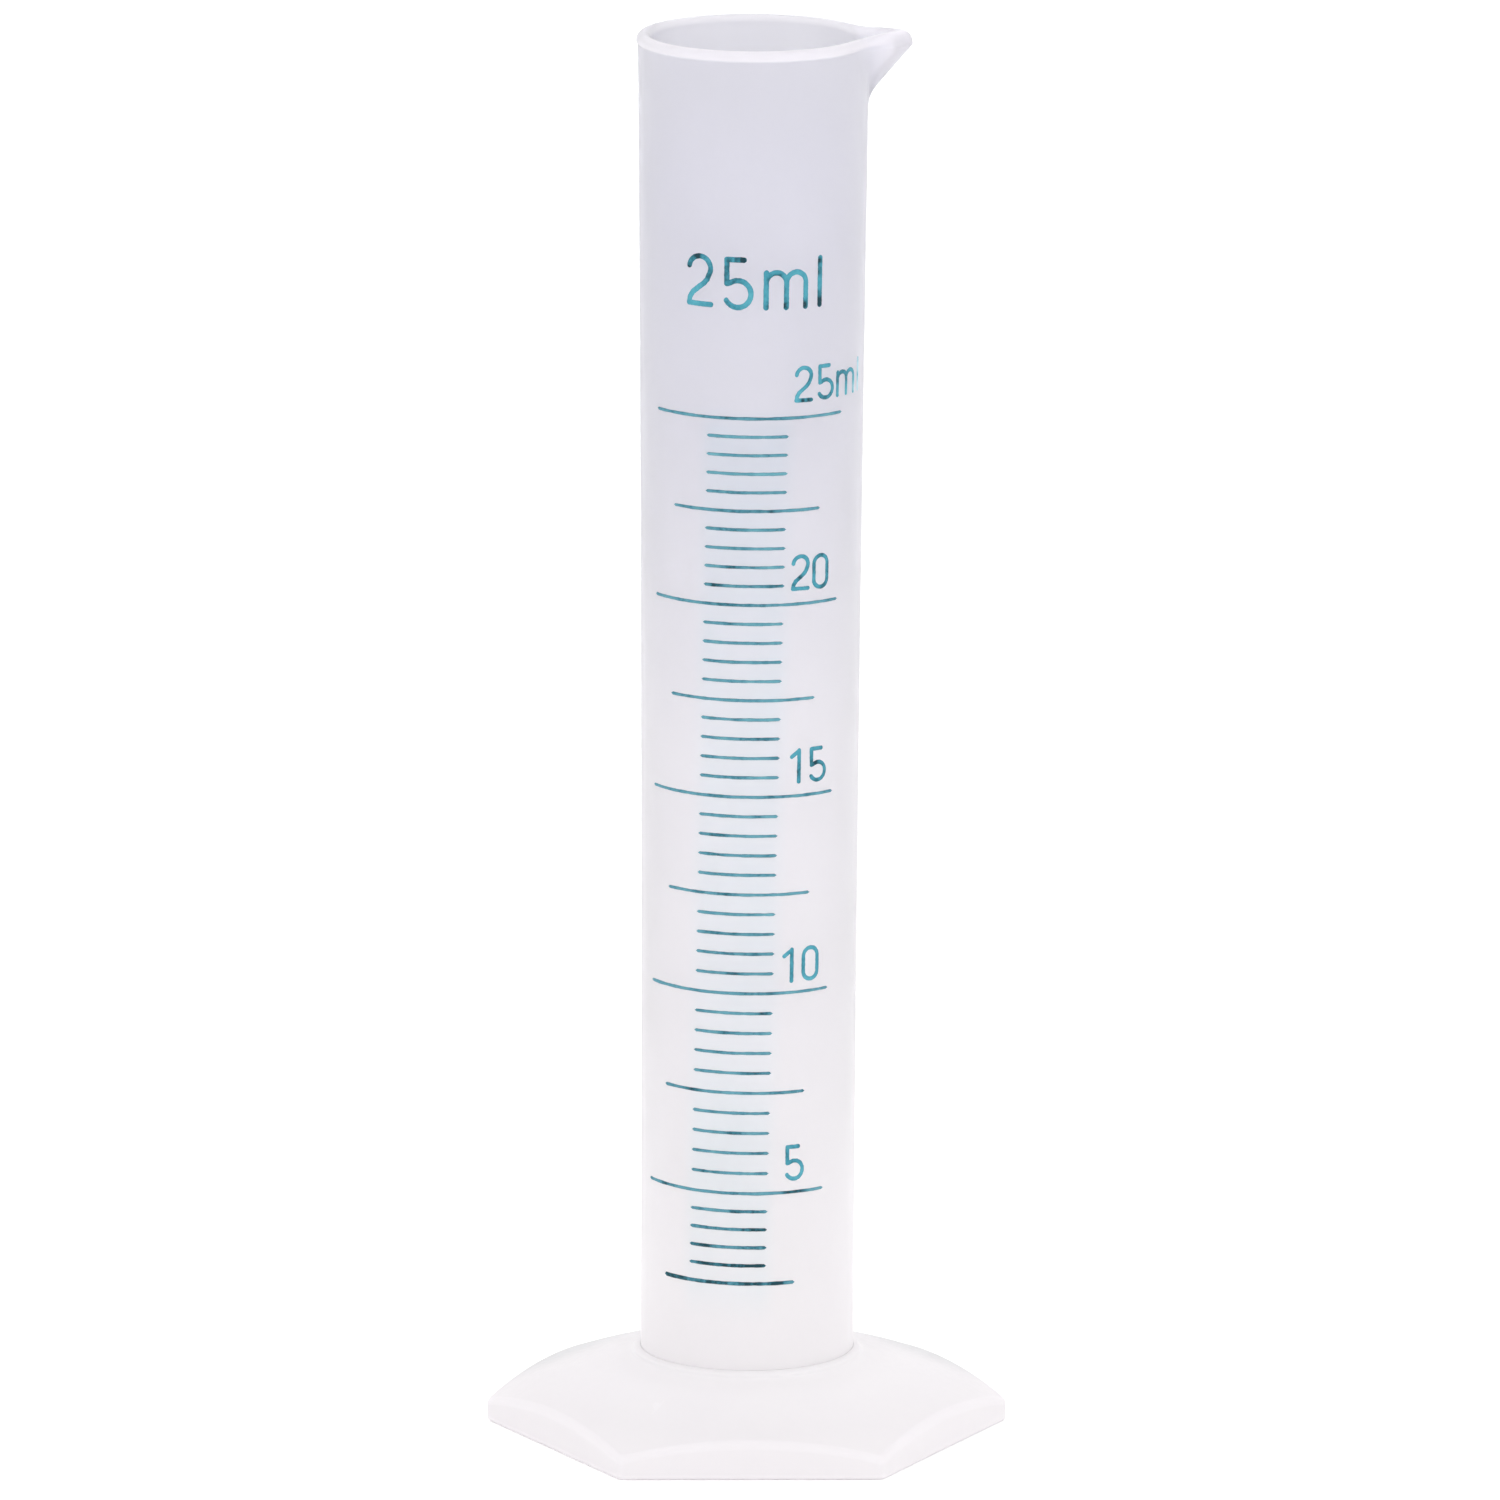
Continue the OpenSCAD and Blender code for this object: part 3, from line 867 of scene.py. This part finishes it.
        # painted shade: inside the mouth the wall is made a little greyer, for the shade in the recess
        rr2 = math_node(N, L, "ADD", math_node(N, L, "POWER", math_node(N, L, "MULTIPLY", sep.outputs["X"], 1000.0), 2.0),
                        math_node(N, L, "POWER", math_node(N, L, "MULTIPLY", sep.outputs["Y"], 1000.0), 2.0))
        mouth_shade_mask = None
        for value, a, c in ((rr2, 112.0, 102.0), (sep.outputs["Z"], 0.125, 0.134)):
            m1 = N.new("ShaderNodeMapRange")
            m1.interpolation_type = "SMOOTHSTEP"
            m1.inputs["From Min"].default_value = a
            m1.inputs["From Max"].default_value = c
            L.new(value, m1.inputs["Value"])
            mouth_shade_mask = m1.outputs[0] if mouth_shade_mask is None else math_node(N, L, "MULTIPLY", mouth_shade_mask, m1.outputs[0])
        mouth_shade = N.new("ShaderNodeMix")
        mouth_shade.data_type = "RGBA"
        mouth_shade.blend_type = "MULTIPLY"
        L.new(mouth_shade_mask, mouth_shade.inputs["Factor"])
        L.new(skin, mouth_shade.inputs[6])
        mouth_shade.inputs[7].default_value = (0.92, 0.92, 0.905, 1.0)
        skin = mouth_shade.outputs[2]
    L.new(skin, b.inputs["Base Color"])
    # cloudier patches let less through
    tr = N.new("ShaderNodeMapRange")
    tr.inputs["From Min"].default_value = 0.36
    tr.inputs["From Max"].default_value = 0.64
    tr.inputs["To Min"].default_value = 0.93
    tr.inputs["To Max"].default_value = 1.07
    L.new(both, tr.inputs["Value"])
    clear = ramp(N, [(q, (c, c, c)) for q, c in clarity])
    L.new(g.outputs[0], clear.inputs[0])
    sepc = N.new("ShaderNodeSeparateColor")
    L.new(clear.outputs[0], sepc.inputs[0])
    solid = math_node(N, L, "MULTIPLY", milky, 0.3)
    through = math_node(N, L, "MULTIPLY", math_node(N, L, "MULTIPLY", sepc.outputs[0], tr.outputs[0]), math_node(N, L, "SUBTRACT", 1.0, solid))
    L.new(through, b.inputs["Transmission Weight"])
    scr = texture(N, L, "ShaderNodeTexNoise", 1400.0, obj, 2.0, (1, 1, 0.16))
    rr = N.new("ShaderNodeMapRange")
    rr.inputs["From Min"].default_value = 0.35
    rr.inputs["From Max"].default_value = 0.7
    rr.inputs["To Min"].default_value = roughness - 0.03
    rr.inputs["To Max"].default_value = roughness + 0.07
    L.new(scr.outputs[0], rr.inputs["Value"])
    L.new(rr.outputs[0], b.inputs["Roughness"])
    b.inputs["IOR"].default_value = 1.49
    b.inputs["Specular IOR Level"].default_value = gloss
    # thick sections look a little deeper than thin ones
    vol = N.new("ShaderNodeVolumeAbsorption")
    vol.inputs["Color"].default_value = (*absorb, 1.0)
    vol.inputs["Density"].default_value = 150.0
    out = next(n for n in N if n.type == "OUTPUT_MATERIAL")
    L.new(vol.outputs[0], out.inputs["Volume"])
    bump = N.new("ShaderNodeBump")
    bump.inputs["Strength"].default_value = 0.35
    bump.inputs["Distance"].default_value = 0.00003
    h = math_node(N, L, "ADD", haze.outputs[0], math_node(N, L, "MULTIPLY", scr.outputs[0], 0.12))
    L.new(h, bump.inputs["Height"])
    L.new(bump.outputs[0], b.inputs["Normal"])
    return m


def printing_ink(name, seed, stops):
    """Teal screen ink: thicker and darker in the middle of a stroke's run, thin and pale where the screen starved."""
    m, nt, N, L, b = nodes_of(name)
    tc = N.new("ShaderNodeTexCoord")
    obj = tc.outputs["Object"]
    n1 = texture(N, L, "ShaderNodeTexNoise", 420.0 + seed, obj, 4.0)
    n2 = texture(N, L, "ShaderNodeTexNoise", 2600.0, obj, 2.0)
    mix = math_node(N, L, "ADD", math_node(N, L, "MULTIPLY", n1.outputs[0], 0.72), math_node(N, L, "MULTIPLY", n2.outputs[0], 0.28))
    load = N.new("ShaderNodeAttribute")
    load.attribute_name = "load"
    thick = math_node(N, L, "SUBTRACT", mix, math_node(N, L, "MULTIPLY", load.outputs["Fac"], 0.2))
    col = ramp(N, stops)
    L.new(thick, col.inputs[0])
    L.new(col.outputs[0], b.inputs["Base Color"])
    rr = N.new("ShaderNodeMapRange")
    rr.inputs["To Min"].default_value = 0.5
    rr.inputs["To Max"].default_value = 0.75
    b.inputs["Specular IOR Level"].default_value = 0.25
    L.new(n2.outputs[0], rr.inputs["Value"])
    L.new(rr.outputs[0], b.inputs["Roughness"])
    bump = N.new("ShaderNodeBump")
    bump.inputs["Strength"].default_value = 0.25
    bump.inputs["Distance"].default_value = 0.00004
    L.new(n2.outputs[0], bump.inputs["Height"])
    L.new(bump.outputs[0], b.inputs["Normal"])
    return m


# the tube's stops are partly painted light: greyer and bluer towards the rim and whitest about a quarter of the way up,
# for how the light falls on it
tube_mat = polypropylene("tube_polypropylene", [(0.0, (0.900, 0.874, 0.888)), (0.09, (0.905, 0.880, 0.894)), (0.25, (0.985, 0.966, 0.978)), (0.58, (0.960, 0.946, 0.968)),
                                                (0.85, (0.880, 0.874, 0.920)), (1.0, (0.864, 0.859, 0.912))],
                         [(0.0, 0.20), (0.08, 0.24), (0.25, 0.52), (0.4, 0.62), (1.0, 0.68)], 0.118, 0.34, (0.85, 0.85, 0.885), (0.1361, 0.1365), 0.9, True)
foot_mat = polypropylene("foot_polypropylene", [(0.0, (0.85, 0.822, 0.838)), (0.42, (0.845, 0.818, 0.834)), (0.62, (0.83, 0.806, 0.822)), (0.76, (0.83, 0.808, 0.823)), (0.84, (0.805, 0.785, 0.80)), (1.0, (0.805, 0.785, 0.80))],
                         [(0.0, 0.22), (0.45, 0.22), (0.68, 0.14), (1.0, 0.10)], 0.009, 0.34, (0.87, 0.865, 0.87), (0.0068, 0.0055), 0.14, False, 0.05)
ink_mat = printing_ink("scale_ink", 0.0, [(0.30, (0.004, 0.045, 0.060)), (0.38, (0.030, 0.150, 0.200)), (0.47, (0.075, 0.240, 0.303)), (0.66, (0.122, 0.328, 0.390))])
label_ink = printing_ink("numeral_ink", 5.0, [(0.30, (0.003, 0.035, 0.050)), (0.40, (0.022, 0.150, 0.200)), (0.48, (0.045, 0.245, 0.320)), (0.66, (0.085, 0.345, 0.425)), (0.95, (0.44, 0.62, 0.69))])

# ------------------------------------------------------------------ pieces
v, f = loft([tube_column(t) for t in tube_thetas()], False)
tube = new_object("measuring_tube_moulding", v, f, "tube", [tube_mat])
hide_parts("measuring_tube")

v, f = loft([foot_column(t) for t in foot_thetas()], True)
foot = new_object("hexagonal_foot_moulding", v, f, "foot", [foot_mat])
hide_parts("hex_foot")

v, f, w = [], [], []
for k, ml in enumerate((5, 10, 15, 20, 25)):
    ink_line(v, f, w, ml, LONG_ARC, 1.0 + k)
ob = new_object("printed_lines_5ml", v, f, "tube", [ink_mat], w)
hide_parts("scale_lines_5ml")

v, f, w = [], [], []
for k, ml in enumerate((2.5, 7.5, 12.5, 17.5, 22.5)):
    # the lowest one is a little shorter and starts with more ink
    ink_line(v, f, w, ml, HALF_ARC - (5.2 if k == 0 else 0.0), 11.0 + k, -0.45 if k == 0 else 0.0, 0.3 if k == 0 else 0.0)
ob = new_object("printed_lines_2_5ml", v, f, "tube", [ink_mat], w)
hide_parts("scale_lines_2_5ml")

v, f, w = [], [], []
for half in range(6, 50):
    if half % 5:
        ink_line(v, f, w, half / 2, FINE_ARC, 21.0 + half)
ob = new_object("printed_lines_0_5ml", v, f, "tube", [ink_mat], w)
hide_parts("scale_lines_0_5ml")

v, f, w = [], [], []
NUM_H, NUM_W = 3.5, 0.4
STEP = 0.04
LABELS = (
    (5, "5", [(5.5, 0, 1.03)], 1.05, {}),
    (10, "10", [(4.66, 0, 1), (6.76, 0, 1)], 0.9, {0: [(0.3, 0.8, 0.3, 0.12)]}),
    (15, "15", [(4.91, 0, 1), (7.08, -0.05, 1)], 1.12, {0: [(0.28, 0.82, 0.5, 0.1)], 1: [(0.21, 0.58, 1.0, 0.07)]}),
    (20, "20", [(4.65, 0, 1), (6.9, -0.06, 1)], 1.24, {0: [(0.24, 0.37, 1.0, 0.09), (0.08, 0.17, 0.6, 0.09)], 1: [(0.3, 0.95, 0.4, 0.12)]}),
    (25, "25ml", [(4.5, 0, 1), (7.0, 0, 1), (9.4, 0, 1), (13.2, 0, 1)], 1.4, {
        0: [(0.24, 0.055, 1.0, 0.07), (0.42, 0.055, 0.9, 0.06)],
        2: [(0.45, 0.1, -1.0, 0.22), (0.83, 0.2, -1.4, 0.3)],
        3: [(0.05, 0.15, -2.2, 0.4), (0.05, 0.75, -2.2, 0.4)]}),
)
for ml, word, places, rise, pools in LABELS:
    ink_word(v, f, w, word, places, line_z(ml) + rise, NUM_H, NUM_W, 5.0 + ml, STEP, pools)
ob = new_object("printed_numerals", v, f, "tube", [label_ink], w)
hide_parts("scale_numerals")

v, f, w = [], [], []
ink_word(v, f, w, "25ml", [(-6.52, 0.17, 1.012), (-2.72, 0, 1.03), (1.18, 0, 1.04), (6.72, 0, 1.045)], Z25 + 10.5, 5.05, 0.52, 61.0, STEP, {
    0: [(0.24, 0.96, 1.0, 0.08), (0.04, 0.71, 1.0, 0.07), (0.42, 0.82, 0.35, 0.1)],
    1: [(0.12, 0.945, 0.9, 0.07), (0.25, 0.945, 0.8, 0.07), (0.38, 0.945, 0.95, 0.06)],
    2: [(0.05, 0.08, 0.3, 0.1), (0.42, 0.1, 0.5, 0.1), (0.80, 0.08, 0.9, 0.07)],
    3: [(0.05, 0.87, 1.0, 0.06), (0.05, 0.6, 0.35, 0.2), (0.05, 0.1, 0.7, 0.1)]})
ob = new_object("printed_capacity", v, f, "tube", [label_ink], w)
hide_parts("capacity_mark")

# ------------------------------------------------------------------ floor, light and camera
scene = bpy.context.scene
world = bpy.data.worlds.new("studio")
scene.world = world
world.use_nodes = True
bg = world.node_tree.nodes["Background"]
bg.inputs["Color"].default_value = (1.0, 1.0, 1.0, 1.0)
bg.inputs["Strength"].default_value = 1.22

me = bpy.data.meshes.new("floor")
s = 4.0
me.from_pydata([(-s, -s, 0), (s, -s, 0), (s, s, 0), (-s, s, 0)], [], [(0, 1, 2, 3)])
floor = bpy.data.objects.new("floor", me)
scene.collection.objects.link(floor)
fm, nt, N, L, b = nodes_of("floor_white")
tc = N.new("ShaderNodeTexCoord")
fn = texture(N, L, "ShaderNodeTexNoise", 3.0, tc.outputs["Object"], 2.0)
fr = ramp(N, [(0.3, (0.94, 0.94, 0.94)), (0.7, (0.96, 0.96, 0.96))])
L.new(fn.outputs[0], fr.inputs[0])
L.new(fr.outputs[0], b.inputs["Base Color"])
b.inputs["Emission Color"].default_value = (1, 1, 1, 1)
b.inputs["Emission Strength"].default_value = 0.12
b.inputs["Roughness"].default_value = 0.9
b.inputs["Specular IOR Level"].default_value = 0.0
me.materials.append(fm)


def area(name, loc, target, size, power, colour=(1, 1, 1)):
    d = bpy.data.lights.new(name, "AREA")
    d.shape = "RECTANGLE"
    d.size, d.size_y = size
    d.energy = power
    d.color = colour
    o = bpy.data.objects.new(name, d)
    scene.collection.objects.link(o)
    o.location = loc
    o.rotation_euler = (Vector(target) - Vector(loc)).to_track_quat("-Z", "Y").to_euler()
    return o


area("key", (-0.55, -0.75, 0.75), (0, 0, 0.06), (0.5, 0.7), 0.58)
area("fill", (0.8, -0.5, 0.5), (0, 0, 0.07), (0.5, 0.7), 0.64)
area("top", (0.0, 0.1, 1.0), (0, 0, 0.0), (0.9, 0.9), 0.8)

cam_d = bpy.data.cameras.new("camera")
cam_d.sensor_width = 36.0
cam_d.lens = 14453.0 / 1500.0 * 36.0
cam_d.clip_start = 0.05
cam_d.clip_end = 20.0
cam = bpy.data.objects.new("camera", cam_d)
scene.collection.objects.link(cam)
D, PITCH, ZT, AZ, ROLL = 1.396, 12.68 * DEG, 0.06704, -91.2 * DEG, 0.3 * DEG
cam.location = (D * math.cos(PITCH) * math.cos(AZ), D * math.cos(PITCH) * math.sin(AZ), ZT + D * math.sin(PITCH))
look = Vector((0, 0, ZT)) - Vector(cam.location)
q = look.to_track_quat("-Z", "Y")
cam.rotation_mode = "QUATERNION"
cam.rotation_quaternion = q @ Quaternion((0, 0, 1), ROLL)
scene.camera = cam

# light is scattered many times inside milky plastic
scene.cycles.max_bounces = 24
scene.cycles.diffuse_bounces = 8
scene.cycles.glossy_bounces = 6
scene.cycles.transmission_bounces = 24

scene.view_settings.view_transform = "Standard"
scene.view_settings.look = "None"
